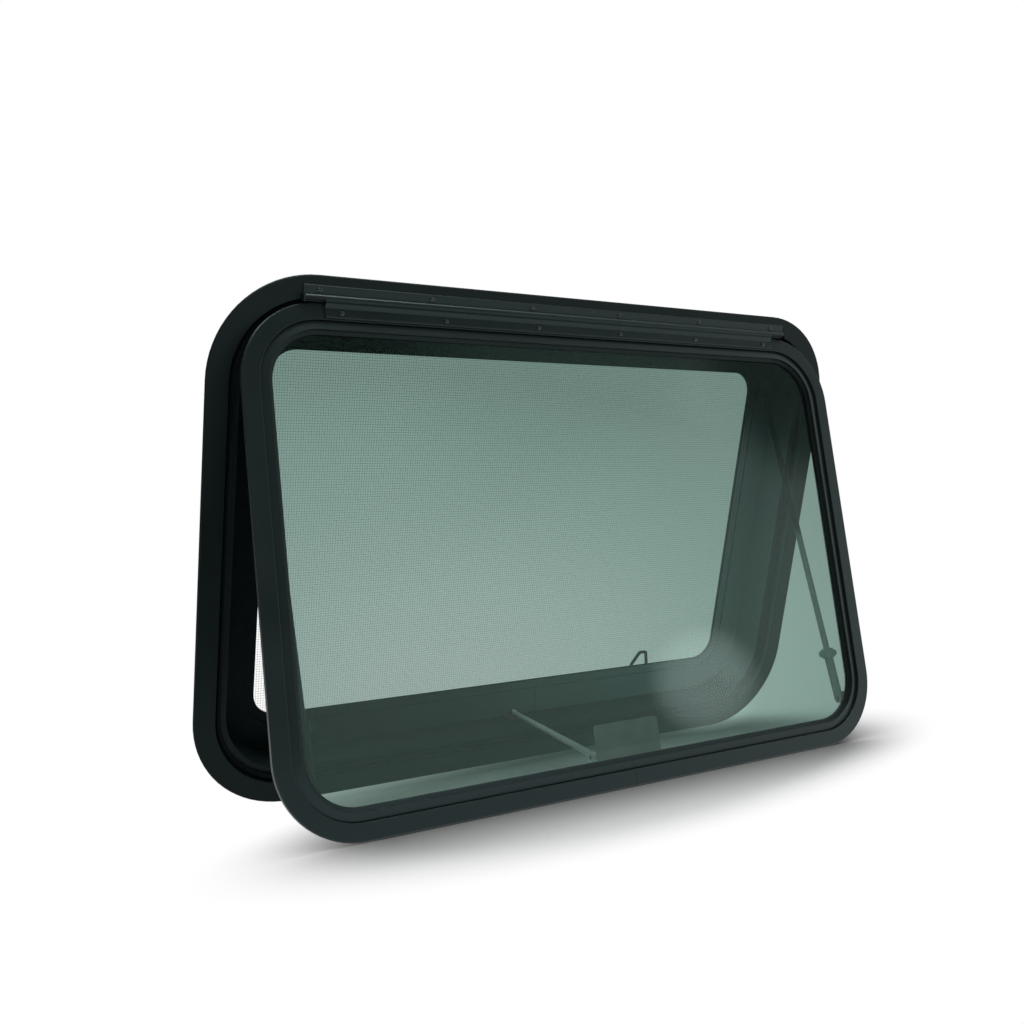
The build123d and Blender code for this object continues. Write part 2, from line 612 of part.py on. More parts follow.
def clevis_ears(pivot, width, seat, up):
    """Two ears astride one end of the arm, reaching from its pivot to a seat."""
    for side in (-1, 1):
        origin = pivot + arm_across * side * (width / 2 + FIT)
        plane = Plane(origin=origin, x_dir=arm_along, z_dir=arm_across * side)
        shift = (origin - seat).dot(arm_across) / X_AXIS.dot(arm_across)
        heel = plane.to_local_coords(
            seat + X_AXIS * shift + up * (ARM_EAR_RADIUS + BRACKET_THICKNESS / 2)
        )
        with BuildSketch(plane) as ear:
            Circle(ARM_EAR_RADIUS)
            with Locations((heel.X, heel.Y)):
                RegularPolygon(ARM_EAR_RADIUS, 6, major_radius=False)
            make_hull()
        extrude(ear.sketch, amount=ARM_EAR)


# Arm bracket on the back of the sash's bottom rail
with BuildPart() as prop_arm_bracket:
    rail_down = SASH_FOOT_DOWN - SASH_REAR_END + SASH_REAR_WIDTH / 2
    rail = sash_point(ARM_FOOT_X, rail_down, SASH_DEPTH)
    clevis_ears(arm_foot, ARM_FOOT_WIDTH, rail, -OUTWARD)
    with BuildSketch(Plane(origin=rail, x_dir=X_AXIS, z_dir=-OUTWARD)):
        Rectangle(ARM_BASE_LENGTH, SASH_REAR_WIDTH)
    extrude(amount=BRACKET_THICKNESS)
write(prop_arm_bracket, "prop_arm_bracket")

# Keeper on the spigot's sill
with BuildPart() as prop_arm_keeper:
    sill = Vector(arm_head.X, arm_head.Y, sill_z)
    clevis_ears(arm_head, ARM_HEAD_WIDTH, sill, Z_AXIS)
    with BuildSketch(Plane(origin=sill, x_dir=X_AXIS, z_dir=(0, 0, 1))):
        Rectangle(KEEPER_BASE_LENGTH, KEEPER_BASE_WIDTH)
    extrude(amount=BRACKET_THICKNESS)
write(prop_arm_keeper, "prop_arm_keeper")
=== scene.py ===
from math import cos, pi, radians, sin, sqrt

import bmesh
import bpy
from mathutils import Matrix, Vector


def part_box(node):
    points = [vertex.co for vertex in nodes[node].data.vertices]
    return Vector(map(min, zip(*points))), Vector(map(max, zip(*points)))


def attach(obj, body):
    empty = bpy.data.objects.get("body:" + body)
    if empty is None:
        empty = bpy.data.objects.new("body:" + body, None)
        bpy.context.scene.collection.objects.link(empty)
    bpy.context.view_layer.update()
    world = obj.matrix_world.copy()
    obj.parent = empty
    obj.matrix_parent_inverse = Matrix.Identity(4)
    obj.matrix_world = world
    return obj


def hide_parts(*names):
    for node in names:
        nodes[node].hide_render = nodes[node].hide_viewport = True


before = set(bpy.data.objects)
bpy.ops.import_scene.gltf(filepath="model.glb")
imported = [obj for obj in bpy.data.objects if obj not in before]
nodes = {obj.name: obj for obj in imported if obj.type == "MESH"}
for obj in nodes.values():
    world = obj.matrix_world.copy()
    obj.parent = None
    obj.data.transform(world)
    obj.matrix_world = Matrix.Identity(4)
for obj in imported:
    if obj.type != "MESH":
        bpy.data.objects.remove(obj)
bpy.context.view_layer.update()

# Places shared with the solids, in metres. The sash hangs open about the hinge axis.
OPEN_ANGLE = radians(23.5)
HINGE_AXIS = Vector((0, -0.0085, 0.620))
AXIS_PROUD = 0.0055
OUTWARD = Vector((0, -cos(OPEN_ANGLE), sin(OPEN_ANGLE)))
DOWN = Vector((0, -sin(OPEN_ANGLE), -cos(OPEN_ANGLE)))
SASH_FRONT = HINGE_AXIS - OUTWARD * AXIS_PROUD
FLANGE_FRONT = -0.003
LEAF_THICKNESS = 0.002
GLASS_BACK = 0.0112
FRAME_MIDDLE = 0.317
FRAME_HALF_WIDTH = 0.481
FRAME_HALF_HEIGHT = 0.329
FRAME_CORNER = 0.125
TRIM_BACK = 0.059
X_AXIS = Vector((1, 0, 0))
Z_AXIS = Vector((0, 0, 1))
INWARD = Vector((0, 1, 0))


def sash_point(x, down, depth):
    """A point of the sash: across, down from the hinge axis, in from its front."""
    return SASH_FRONT + X_AXIS * x + DOWN * down - OUTWARD * depth


def axes_at(place, x, y, z):
    """The matrix of an object that stands at a place with these axes."""
    return Matrix.Translation(place) @ Matrix((x, y, z)).transposed().to_4x4()


# Shader nodes

# Sockets of a Mix node that mixes colours: its other kinds share their names
MIX_COLOUR_A = 6
MIX_COLOUR_B = 7
MIX_COLOUR_RESULT = 2


def set_inputs(node, **inputs):
    """Set a node's inputs by name, with underscores for spaces."""
    for key, value in inputs.items():
        node.inputs[key.replace("_", " ")].default_value = value


def add(tree, kind, **inputs):
    """A node of the kind, with its inputs set by name."""
    node = tree.nodes.new(kind)
    set_inputs(node, **inputs)
    return node


def new_material(name):
    """A material with one Principled shader, and its node tree."""
    material = bpy.data.materials.new(name)
    material.use_nodes = True
    tree = material.node_tree
    return material, tree, tree.nodes["Principled BSDF"]


def set_or_link(tree, socket, value):
    """Give a socket a number, or link another socket to it."""
    if isinstance(value, (int, float)):
        socket.default_value = value
    else:
        tree.links.new(value, socket)


def math_node(tree, operation, *values):
    """A sum, product or the like of values, each a socket or a number."""
    node = tree.nodes.new("ShaderNodeMath")
    node.operation = operation
    for socket, value in zip(node.inputs, values):
        set_or_link(tree, socket, value)
    return node.outputs["Value"]


def map_range(tree, value, span, result=(0, 1), smooth=False):
    """A value taken from one span to another, and held at the ends."""
    node = add(
        tree, "ShaderNodeMapRange",
        From_Min=span[0], From_Max=span[1], To_Min=result[0], To_Max=result[1],
    )
    if smooth:
        node.interpolation_type = "SMOOTHSTEP"
    tree.links.new(value, node.inputs["Value"])
    return node.outputs["Result"]


def vector_math(tree, operation, vector):
    """A node that turns a vector into one number."""
    node = tree.nodes.new("ShaderNodeVectorMath")
    node.operation = operation
    tree.links.new(vector, node.inputs[0])
    return node


def along_axis(tree, vector, axis):
    """How far a vector reaches along an axis."""
    node = vector_math(tree, "DOT_PRODUCT", vector)
    node.inputs[1].default_value = axis
    return node.outputs["Value"]


def length_of(tree, vector):
    """The length of a vector."""
    return vector_math(tree, "LENGTH", vector).outputs["Value"]


def object_place(tree):
    """Coordinates in the object's own space, which is the window's frame for its pieces."""
    return tree.nodes.new("ShaderNodeTexCoord").outputs["Object"]


def mapped_place(tree, kind="POINT", **inputs):
    """The object's coordinates after a Mapping node."""
    mapping = add(tree, "ShaderNodeMapping", **inputs)
    mapping.vector_type = kind
    tree.links.new(object_place(tree), mapping.inputs["Vector"])
    return mapping.outputs["Vector"]


def noise(tree, scale, detail, stretch=(1, 1, 1)):
    """Noise in object space, stretched along the axes."""
    texture = add(tree, "ShaderNodeTexNoise", Scale=scale, Detail=detail)
    tree.links.new(mapped_place(tree, Scale=stretch), texture.inputs["Vector"])
    return texture.outputs["Fac"]


def ramp(tree, value, stops):
    """Colour ramp over a value, from (place, colour) stops."""
    node = tree.nodes.new("ShaderNodeValToRGB")
    elements = node.color_ramp.elements
    while len(elements) < len(stops):
        elements.new(0.5)
    for element, (place, colour) in zip(elements, stops):
        element.position = place
        element.color = (*colour, 1)
    tree.links.new(value, node.inputs["Fac"])
    return node.outputs["Color"]


def mix_shaders(tree, share, first, second):
    """Two shaders mixed by the share of the second."""
    mix = tree.nodes.new("ShaderNodeMixShader")
    for socket, source in zip(mix.inputs, (share, first, second)):
        tree.links.new(source, socket)
    return mix.outputs["Shader"]


def seen_directly(tree, path):
    """1 for what the camera sees by itself or through glass, else 0."""
    return math_node(
        tree, "MAXIMUM", path.outputs["Is Camera Ray"], path.outputs["Is Transmission Ray"],
    )


# Finishes

NOISE_SPAN = (0.3, 0.7)
CLOUD_SCALE = 9
CLOUD_DETAIL = 5
CLOUD_STOPS = (0.32, 0.68)
GRAIN_DETAIL = 3
GRAIN_HEIGHT = 0.0004
EDGE_SAMPLES = 6
FACING_SPAN = (0.5, 0.8)
COOL_TINT = (0.72, 1, 1)


def roughen(tree, shader, value, rough):
    """Roughness that wanders between two values."""
    tree.links.new(map_range(tree, value, NOISE_SPAN, rough), shader.inputs["Roughness"])


def relief(tree, shader, height, strength, edge):
    """A fine grain on the surface, and edges that catch light as if rounded."""
    rounding = add(tree, "ShaderNodeBevel", Radius=edge)
    rounding.samples = EDGE_SAMPLES
    grain = add(tree, "ShaderNodeBump", Strength=strength, Distance=GRAIN_HEIGHT)
    tree.links.new(height, grain.inputs["Height"])
    tree.links.new(rounding.outputs["Normal"], grain.inputs["Normal"])
    tree.links.new(grain.outputs["Normal"], shader.inputs["Normal"])


def finish_material(name, dark, light, rough, grain, strength, metallic=0.0, specular=0.5,
                    tint=(1, 1, 1), edge=0.0006, stretch=(1, 1, 1)):
    """An opaque finish: cloudy colour, wandering roughness and a fine grain."""
    material, tree, shader = new_material(name)
    cloud = noise(tree, CLOUD_SCALE, CLOUD_DETAIL, stretch)
    colour = ramp(tree, cloud, list(zip(CLOUD_STOPS, (dark, light))))
    tree.links.new(colour, shader.inputs["Base Color"])
    roughen(tree, shader, cloud, rough)
    relief(tree, shader, noise(tree, grain, GRAIN_DETAIL, stretch), strength, edge)
    set_inputs(shader, Metallic=metallic, Specular_IOR_Level=specular, Specular_Tint=(*tint, 1))
    return material


def paint_light_gradient(material, axis, span, colour, facing=None):
    """Paint light or shade onto a finish: take it to another colour along an axis, on all faces or those
    that look one way.
    """
    tree = material.node_tree
    base = tree.nodes["Principled BSDF"].inputs["Base Color"]
    share = map_range(tree, along_axis(tree, object_place(tree), axis), span, smooth=True)
    if facing:
        normal = tree.nodes.new("ShaderNodeNewGeometry").outputs["Normal"]
        looks = map_range(tree, along_axis(tree, normal, facing), FACING_SPAN)
        share = math_node(tree, "MULTIPLY", share, looks)
    mix = tree.nodes.new("ShaderNodeMix")
    mix.data_type = "RGBA"
    tree.links.new(share, mix.inputs["Factor"])
    tree.links.new(base.links[0].from_socket, mix.inputs[MIX_COLOUR_A])
    mix.inputs[MIX_COLOUR_B].default_value = (*colour, 1)
    tree.links.new(mix.outputs[MIX_COLOUR_RESULT], base)


powder_coat = finish_material(
    "powder_coat", (0.0098, 0.0160, 0.0166), (0.0128, 0.0200, 0.0206),
    rough=(0.30, 0.40), grain=1400, strength=0.04, tint=COOL_TINT, edge=0.0015,
)
# Outer frame's coat: a darker copy of the powder coat, painted shade; painted light and shade gradients
# are added below
frame_coat_painted_light_and_shade = finish_material(
    "frame_coat_painted_light_and_shade", (0.0085, 0.0135, 0.0140), (0.0112, 0.0170, 0.0176),
    rough=(0.34, 0.46), grain=1400, strength=0.04, specular=0.16, tint=COOL_TINT, edge=0.0009,
)
# Coat of the trim ring and screen frame, darker than the powder coat; painted light and shade gradients
# are added below
trim_coat_painted_light_and_shade = finish_material(
    "trim_coat_painted_light_and_shade", (0.0030, 0.0055, 0.0060), (0.0045, 0.0075, 0.0080),
    rough=(0.40, 0.52), grain=1400, strength=0.04, specular=0.08, tint=COOL_TINT, edge=0.0009,
)
rubber = finish_material(
    "rubber", (0.0030, 0.0050, 0.0055), (0.0050, 0.0075, 0.0080),
    rough=(0.62, 0.78), grain=900, strength=0.2, specular=0.10, tint=COOL_TINT,
)
gasket_rubber = finish_material(
    "gasket_rubber", (0.009, 0.0145, 0.015), (0.012, 0.018, 0.0185),
    rough=(0.50, 0.62), grain=900, strength=0.1, specular=0.35, tint=COOL_TINT,
)
black_steel = finish_material(
    "black_steel", (0.008, 0.010, 0.011), (0.014, 0.017, 0.018),
    rough=(0.28, 0.42), grain=1100, strength=0.05, specular=0.4,
)
black_plastic = finish_material(
    "black_plastic", (0.008, 0.010, 0.010), (0.014, 0.016, 0.016),
    rough=(0.42, 0.55), grain=700, strength=0.15, specular=0.35,
)
grey_plastic = finish_material(
    "grey_plastic", (0.80, 0.82, 0.81), (0.88, 0.90, 0.89),
    rough=(0.40, 0.52), grain=700, strength=0.1,
)
bare_aluminium = finish_material(
    "bare_aluminium", (0.78, 0.80, 0.79), (0.88, 0.89, 0.88),
    rough=(0.26, 0.38), grain=600, strength=0.06, metallic=0.25, stretch=(6, 0.6, 6),
)
red_plastic = finish_material(
    "red_plastic", (0.20, 0.030, 0.032), (0.28, 0.045, 0.045),
    rough=(0.38, 0.5), grain=700, strength=0.1,
)
screw_steel = finish_material(
    "screw_steel", (0.070, 0.076, 0.078), (0.110, 0.118, 0.120),
    rough=(0.12, 0.20), grain=2500, strength=0.05, metallic=1.0, edge=0.0002,
)
mesh_wire = finish_material(
    "mesh_wire", (0.06, 0.072, 0.070), (0.10, 0.116, 0.112),
    rough=(0.45, 0.6), grain=1500, strength=0.05, specular=0.3, edge=0.0001,
)

# The photograph's light on the dark pieces, given as fades: paler to the right and darker at the top
RIGHT_SPAN = (0.30, 0.42)
WIDTH_SPAN = (-0.34, 0.42)
CORNER_SPAN = (0.18, 0.40)
TOP_SPAN = (0.40, 0.54)
FLANGE_TOP_SPAN = (0.45, 0.60)
WALL_PAINTED_LIGHT = (0.32, 0.38, 0.39)
TRIM_PAINTED_LIGHT = (0.36, 0.42, 0.43)
CORNER_PAINTED_LIGHT = (0.60, 0.61, 0.61)
TOP_PAINTED_SHADE = (0.0030, 0.0050, 0.0055)
FLANGE_TOP = (0.0150, 0.0215, 0.0218)
GASKET_PAINTED_SHADE = (0.002, 0.003, 0.003)
# Painted light on the frame's right tunnel walls, painted shade on those walls near the top, and painted
# light on the flange's front near the top
paint_light_gradient(frame_coat_painted_light_and_shade, X_AXIS, RIGHT_SPAN, WALL_PAINTED_LIGHT, facing=-X_AXIS)
paint_light_gradient(frame_coat_painted_light_and_shade, Z_AXIS, TOP_SPAN, TOP_PAINTED_SHADE, facing=-X_AXIS)
paint_light_gradient(frame_coat_painted_light_and_shade, Z_AXIS, FLANGE_TOP_SPAN, FLANGE_TOP, facing=-INWARD)
# Painted light on the trim's outer face, paler to the right and palest at the lower right, with painted
# shade at its top
paint_light_gradient(trim_coat_painted_light_and_shade, X_AXIS, WIDTH_SPAN, TRIM_PAINTED_LIGHT, facing=-INWARD)
paint_light_gradient(trim_coat_painted_light_and_shade, X_AXIS - Z_AXIS, CORNER_SPAN, CORNER_PAINTED_LIGHT, facing=-INWARD)
paint_light_gradient(trim_coat_painted_light_and_shade, Z_AXIS, TOP_SPAN, TOP_PAINTED_SHADE, facing=-INWARD)
# Painted shade on the gasket, darker to the right
paint_light_gradient(gasket_rubber, X_AXIS, RIGHT_SPAN, GASKET_PAINTED_SHADE)

# Right stay's rod: the heights between which it changes, and its colours from pale to black. The black
# above is painted shade inside the frame, the pale below a painted reflection of the white surround
ROD_CHANGE = (0.315, 0.345)
ROD_MOTTLE = 0.2
ROD_PAINTED_TONES = (
    (0.0, (0.88, 0.90, 0.89)), (0.2, (0.80, 0.82, 0.81)),
    (0.8, (0.010, 0.012, 0.013)), (1.0, (0.005, 0.007, 0.007)),
)


def rod_material():
    """Rod painted black above as shade and pale below as a reflection of the white surround."""
    material, tree, shader = new_material("stay_rod")
    height = along_axis(tree, object_place(tree), Z_AXIS)
    black = map_range(tree, height, ROD_CHANGE, smooth=True)
    cloud = noise(tree, 30, 4, (4, 4, 0.5))
    mottle = math_node(tree, "MULTIPLY", math_node(tree, "SUBTRACT", cloud, 0.5), ROD_MOTTLE)
    colour = ramp(tree, math_node(tree, "ADD", black, mottle), ROD_PAINTED_TONES)
    tree.links.new(colour, shader.inputs["Base Color"])
    roughen(tree, shader, cloud, (0.24, 0.36))
    relief(tree, shader, noise(tree, 900, GRAIN_DETAIL), strength=0.04, edge=0.0004)
    set_inputs(shader, Metallic=0.25, Specular_IOR_Level=0.15)
    return material


# Pane: tints by distance from its palest place, painted light and shade in its grey-green tint, palest at
# the lower left; and where its haze clears, across and up, a painted dark reflection towards the upper
# sides
PANE_SHIFT = (0.25, 0, -0.42)
PANE_STRETCH = (1, 0, 2.2)
PANE_TINTS_WITH_PAINTED_LIGHT = (
    (0.08, (0.385, 0.500, 0.460)), (0.25, (0.338, 0.474, 0.427)), (0.45, (0.272, 0.402, 0.356)),
    (0.60, (0.232, 0.356, 0.312)), (0.78, (0.190, 0.294, 0.258)),
)
CLEAR_ACROSS = (0.10, 0.32)
CLEAR_UP = (0.30, 0.50)
PANE_TRANSMISSION = (0.93, 1.0)
PANE_INDEX = 1.5
PANE_GLOSS = (0.55, 0.75, 0.70, 1)
PANE_SHADOW = (0.54, 0.67, 0.63, 1)


def glass_material():
    """Grey-green tinted pane with painted light and shade in its tint and a slight haze, which lets lamp
    light through; the haze clears towards the upper sides as a painted dark reflection.
    """
    material, tree, shader = new_material("tinted_glass")
    distance = length_of(tree, mapped_place(tree, Location=PANE_SHIFT, Scale=PANE_STRETCH))
    tree.links.new(ramp(tree, distance, PANE_TINTS_WITH_PAINTED_LIGHT), shader.inputs["Base Color"])
    roughen(tree, shader, noise(tree, 3, 3), (0.0, 0.006))
    across = math_node(tree, "ABSOLUTE", along_axis(tree, object_place(tree), X_AXIS))
    height = along_axis(tree, object_place(tree), Z_AXIS)
    painted_dark_share = math_node(
        tree, "MULTIPLY",
        map_range(tree, across, CLEAR_ACROSS, smooth=True),
        map_range(tree, height, CLEAR_UP, smooth=True),
    )
    transmission = map_range(tree, painted_dark_share, (0, 1), PANE_TRANSMISSION)
    tree.links.new(transmission, shader.inputs["Transmission Weight"])
    set_inputs(shader, IOR=PANE_INDEX, Specular_Tint=PANE_GLOSS)
    clear = add(tree, "ShaderNodeBsdfTransparent", Color=PANE_SHADOW)
    path = tree.nodes.new("ShaderNodeLightPath")
    surface = mix_shaders(
        tree, path.outputs["Is Shadow Ray"], shader.outputs["BSDF"], clear.outputs["BSDF"],
    )
    tree.links.new(surface, tree.nodes["Material Output"].inputs["Surface"])
    return material


def film_material():
    """Plain translucent film on the pane."""
    material, tree, shader = new_material("plain_film")
    cloud = noise(tree, 40, 3)
    colour = ramp(tree, cloud, list(zip(NOISE_SPAN, ((0.24, 0.29, 0.27), (0.30, 0.35, 0.33)))))
    tree.links.new(colour, shader.inputs["Base Color"])
    roughen(tree, shader, cloud, (0.35, 0.5))
    set_inputs(shader, Alpha=0.72)
    return material


# Finishes of the CAD nodes, by the record's slots, and of the nodes that look different
SLOT_FINISHES = {
    "powder_coat": powder_coat, "rubber": rubber, "tinted_glass": glass_material(),
    "mesh": mesh_wire, "black_steel": black_steel, "black_plastic": black_plastic,
    "grey_plastic": grey_plastic, "bare_aluminium": bare_aluminium, "red_plastic": red_plastic,
}
NODE_FINISHES = {
    "outer_frame": frame_coat_painted_light_and_shade, "inner_trim_ring": trim_coat_painted_light_and_shade, "screen_frame": trim_coat_painted_light_and_shade,
    "glazing_gasket": gasket_rubber, "stay_rod_right": rod_material(),
    # The left stay's collar and sleeve are black, where the right stay's are grey: painted shade on the
    # left
    "stay_collar_left": black_plastic, "stay_sleeve_left": black_plastic,
}
for name, node in nodes.items():
    slot = node.data.materials[0].name.split(".")[0]
    node.data.materials.clear()
    node.data.materials.append(NODE_FINISHES.get(name, SLOT_FINISHES[slot]))

# Pieces that only the scene has


def piece_from(name, bm, material):
    """An object from a bmesh, riding on the window."""
    mesh = bpy.data.meshes.new(name)
    bm.to_mesh(mesh)
    bm.free()
    piece = bpy.data.objects.new(name, mesh)
    bpy.context.scene.collection.objects.link(piece)
    piece.data.materials.append(material)
    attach(piece, "root")
    return piece


# Heads of screws and rivets: radius and height, and the shares that shape a dome and its cross recess
HINGE_HEAD = (0.0032, 0.0016)
TRIM_HEAD = (0.0036, 0.0018)
CLIP_HEAD = (0.0026, 0.0012)
RIVET_HEAD = (0.0028, 0.0012)
HEAD_RINGS = 10
HEAD_SEGMENTS = 32
DOME_FALL = 0.82
RECESS_HALF = 0.13
RECESS_REACH = 0.62
RECESS_DEPTH = 0.55
RECESS_TURN = 0.7


def add_head(bm, seat, outward, head, turn=None):
    """A domed head seated on a face, with a cross recess where a turn is given."""
    radius, height = head
    across = outward.orthogonal().normalized()
    side = outward.cross(across)
    layers = []
    for ring in range(HEAD_RINGS + 1):
        share = ring / HEAD_RINGS
        verts = []
        for segment in range(HEAD_SEGMENTS if ring else 1):
            angle = 2 * pi * segment / HEAD_SEGMENTS
            u = radius * share * cos(angle)
            v = radius * share * sin(angle)
            rise = height * sqrt(1 - DOME_FALL * share * share)
            if turn is not None:
                a = abs(u * cos(turn) + v * sin(turn))
                b = abs(v * cos(turn) - u * sin(turn))
                if min(a, b) < RECESS_HALF * radius and max(a, b) < RECESS_REACH * radius:
                    rise -= RECESS_DEPTH * height
            verts.append(bm.verts.new(seat + across * u + side * v + outward * rise))
        layers.append(verts)
    layers.append([bm.verts.new(v.co - outward * (v.co - seat).dot(outward)) for v in layers[-1]])
    for inner, outer in zip(layers, layers[1:]):
        for i in range(HEAD_SEGMENTS):
            j = (i + 1) % HEAD_SEGMENTS
            if len(inner) == 1:
                bm.faces.new((inner[0], outer[i], outer[j]))
            else:
                bm.faces.new((inner[i], outer[i], outer[j], inner[j]))


def head_set(name, seats, head, recess=True):
    """Screws or rivets as one piece, from (seat, outward) pairs."""
    bm = bmesh.new()
    for index, (seat, outward) in enumerate(seats):
        add_head(bm, seat, outward, head, RECESS_TURN * index if recess else None)
    for face in bm.faces:
        face.smooth = True
    return piece_from(name, bm, screw_steel)


# Screws through the two hinge leaves
FRAME_SCREW_Z = 0.6287
FRAME_SCREWS_X = (-0.356, -0.2126, -0.0693, 0.0702, 0.2107, 0.3492)
SASH_SCREW_DOWN = 0.0147
SASH_SCREWS_X = (-0.330, -0.1943, -0.0606, 0.0707, 0.203, 0.3338)
LEAF_FRONT = FLANGE_FRONT - LEAF_THICKNESS
head_set(
    "hinge_screws_frame",
    [(Vector((x, LEAF_FRONT, FRAME_SCREW_Z)), -INWARD) for x in FRAME_SCREWS_X],
    HINGE_HEAD,
)
head_set(
    "hinge_screws_sash",
    [(sash_point(x, SASH_SCREW_DOWN, -LEAF_THICKNESS), OUTWARD) for x in SASH_SCREWS_X],
    HINGE_HEAD,
)

# Screws that draw the trim ring onto the spigot, and those of the screen's clips
TRIM_SCREW_INSET = 0.0385
TRIM_SCREWS_X = (-0.30, -0.18, -0.06, 0.06, 0.18, 0.30)
TRIM_SCREWS_UP = (-0.12, 0, 0.12)
CLIP_SCREW_INSET = 0.0655
CLIP_X = 0.240
CLIP_BACK = 0.061
trim_half_x = FRAME_HALF_WIDTH - TRIM_SCREW_INSET
trim_half_z = FRAME_HALF_HEIGHT - TRIM_SCREW_INSET
diagonal = (FRAME_CORNER - TRIM_SCREW_INSET) * sqrt(0.5)
corner_x = FRAME_HALF_WIDTH - FRAME_CORNER + diagonal
corner_z = FRAME_HALF_HEIGHT - FRAME_CORNER + diagonal
seats = [(x, side * trim_half_z) for x in TRIM_SCREWS_X for side in (-1, 1)]
seats += [(side * trim_half_x, up) for up in TRIM_SCREWS_UP for side in (-1, 1)]
seats += [(side * corner_x, level * corner_z) for side in (-1, 1) for level in (-1, 1)]
head_set(
    "trim_screws",
    [(Vector((x, TRIM_BACK, FRAME_MIDDLE + z)), INWARD) for x, z in seats],
    TRIM_HEAD,
)
clip_half_z = FRAME_HALF_HEIGHT - CLIP_SCREW_INSET
head_set(
    "clip_screws",
    [(Vector((side * CLIP_X, CLIP_BACK, FRAME_MIDDLE + level * clip_half_z)), INWARD)
     for side in (-1, 1) for level in (-1, 1)],
    CLIP_HEAD,
)

# Rivets at both ends of each stay and of the prop arm
STAY_X = 0.4068
STAY_HEAD = (0.0475, 0.529)
STAY_FOOT_DOWN = 0.5435
PIVOT_DEPTH = 0.022
EYE_HALF = 0.002
EAR_THICKNESS = 0.002
ARM_FOOT = sash_point(-0.035, 0.5626, PIVOT_DEPTH)
ARM_HEAD = Vector((0.003, 0.048, 0.038))
ARM_FOOT_REACH = 0.0083
ARM_HEAD_REACH = 0.00605
seats = []
for side in (-1, 1):
    outer_side = X_AXIS * side
    head = Vector((side * STAY_X, *STAY_HEAD))
    foot = sash_point(side * STAY_X, STAY_FOOT_DOWN, PIVOT_DEPTH)
    for pivot in (head, foot):
        seats.append((pivot - outer_side * EYE_HALF, -outer_side))
        seats.append((pivot + outer_side * (EYE_HALF + EAR_THICKNESS), outer_side))
arm_along = (ARM_HEAD - ARM_FOOT).normalized()
arm_across = (X_AXIS - arm_along * arm_along.x).normalized()
for pivot, reach in ((ARM_FOOT, ARM_FOOT_REACH), (ARM_HEAD, ARM_HEAD_REACH)):
    for side in (-1, 1):
        seats.append((pivot + arm_across * side * reach, arm_across * side))
head_set("pivot_rivets", seats, RIVET_HEAD, recess=False)

# Insect mesh: straight wires inside the sheet's rounded outline, one set just behind the other
MESH_PITCH = 0.0034
MESH_WIRE = 0.00028
MESH_CORNER = 0.0405
MESH_STAGGER = 0.2 * MESH_WIRE
WIRE_SIDES = ((-1, 0), (0, -1), (1, 0), (0, 1))


def add_wire(bm, start, end, normal):
    """A four-sided wire between two points."""
    across = (end - start).normalized().cross(normal)
    half = MESH_WIRE / 2
    rings = [
        [bm.verts.new(p + across * u * half + normal * v * half) for u, v in WIRE_SIDES]
        for p in (start, end)
    ]
    for i in range(len(WIRE_SIDES)):
        j = (i + 1) % len(WIRE_SIDES)
        bm.faces.new((rings[0][i], rings[0][j], rings[1][j], rings[1][i]))


def rounded_half(offset, half_along, half_across, radius):
    """Half the length of a wire at an offset from the middle of a rounded rectangle."""
    past = abs(offset) - (half_across - radius)
    if past <= 0:
        return half_along
    return half_along - radius + sqrt(max(0.0, radius * radius - past * past))


low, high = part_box("insect_screen")
middle = (low + high) / 2
half_x = (high.x - low.x) / 2
half_z = (high.z - low.z) / 2
bm = bmesh.new()
columns = int(half_x / MESH_PITCH)
for i in range(-columns, columns + 1):
    x = i * MESH_PITCH
    reach = rounded_half(x, half_z, half_x, MESH_CORNER)
    foot = Vector((x, middle.y - MESH_STAGGER, middle.z - reach))
    add_wire(bm, foot, foot + Z_AXIS * 2 * reach, INWARD)
rows = int(half_z / MESH_PITCH)
for i in range(-rows, rows + 1):
    z = i * MESH_PITCH
    reach = rounded_half(z, half_x, half_z, MESH_CORNER)
    end = Vector((-reach, middle.y + MESH_STAGGER, middle.z + z))
    add_wire(bm, end, end + X_AXIS * 2 * reach, INWARD)
insect_mesh = piece_from("insect_mesh", bm, mesh_wire)
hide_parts("insect_screen")

# Plain film on the pane's inner face, where the photograph shows a sign
FILM_WIDTH = 0.101
FILM_HEIGHT = 0.050
FILM_CORNER = 0.004
FILM_THICKNESS = 0.00015
FILM_X = 0.0085
FILM_DOWN = 0.548
CORNER_STEPS = 6
outline = []
for across, up, start in ((1, 1, 0), (-1, 1, 90), (-1, -1, 180), (1, -1, 270)):
    for step in range(CORNER_STEPS + 1):
        angle = radians(start + 90 / CORNER_STEPS * step)
        outline.append((
            across * (FILM_WIDTH / 2 - FILM_CORNER) + FILM_CORNER * cos(angle),
            up * (FILM_HEIGHT / 2 - FILM_CORNER) + FILM_CORNER * sin(angle),
        ))
bm = bmesh.new()
front, rear = [
    [bm.verts.new(sash_point(FILM_X + u, FILM_DOWN - v, depth)) for u, v in outline]
    for depth in (GLASS_BACK, GLASS_BACK + FILM_THICKNESS)
]
bm.faces.new(front)
bm.faces.new(reversed(rear))
for i in range(len(outline)):
    j = (i + 1) % len(outline)
    bm.faces.new((front[i], front[j], rear[j], rear[i]))
piece_from("plain_film", bm, film_material())

# Floor: the window leans on the foot of its flange and the foot of its sash
FLOOR_BACK = Vector((0, -0.003, -0.0122))
FLOOR_FRONT = Vector((0, -0.2377, 0.0614))
FLOOR_HALF = 2.2
floor_along = (FLOOR_FRONT - FLOOR_BACK).normalized()
floor_up = floor_along.cross(X_AXIS)

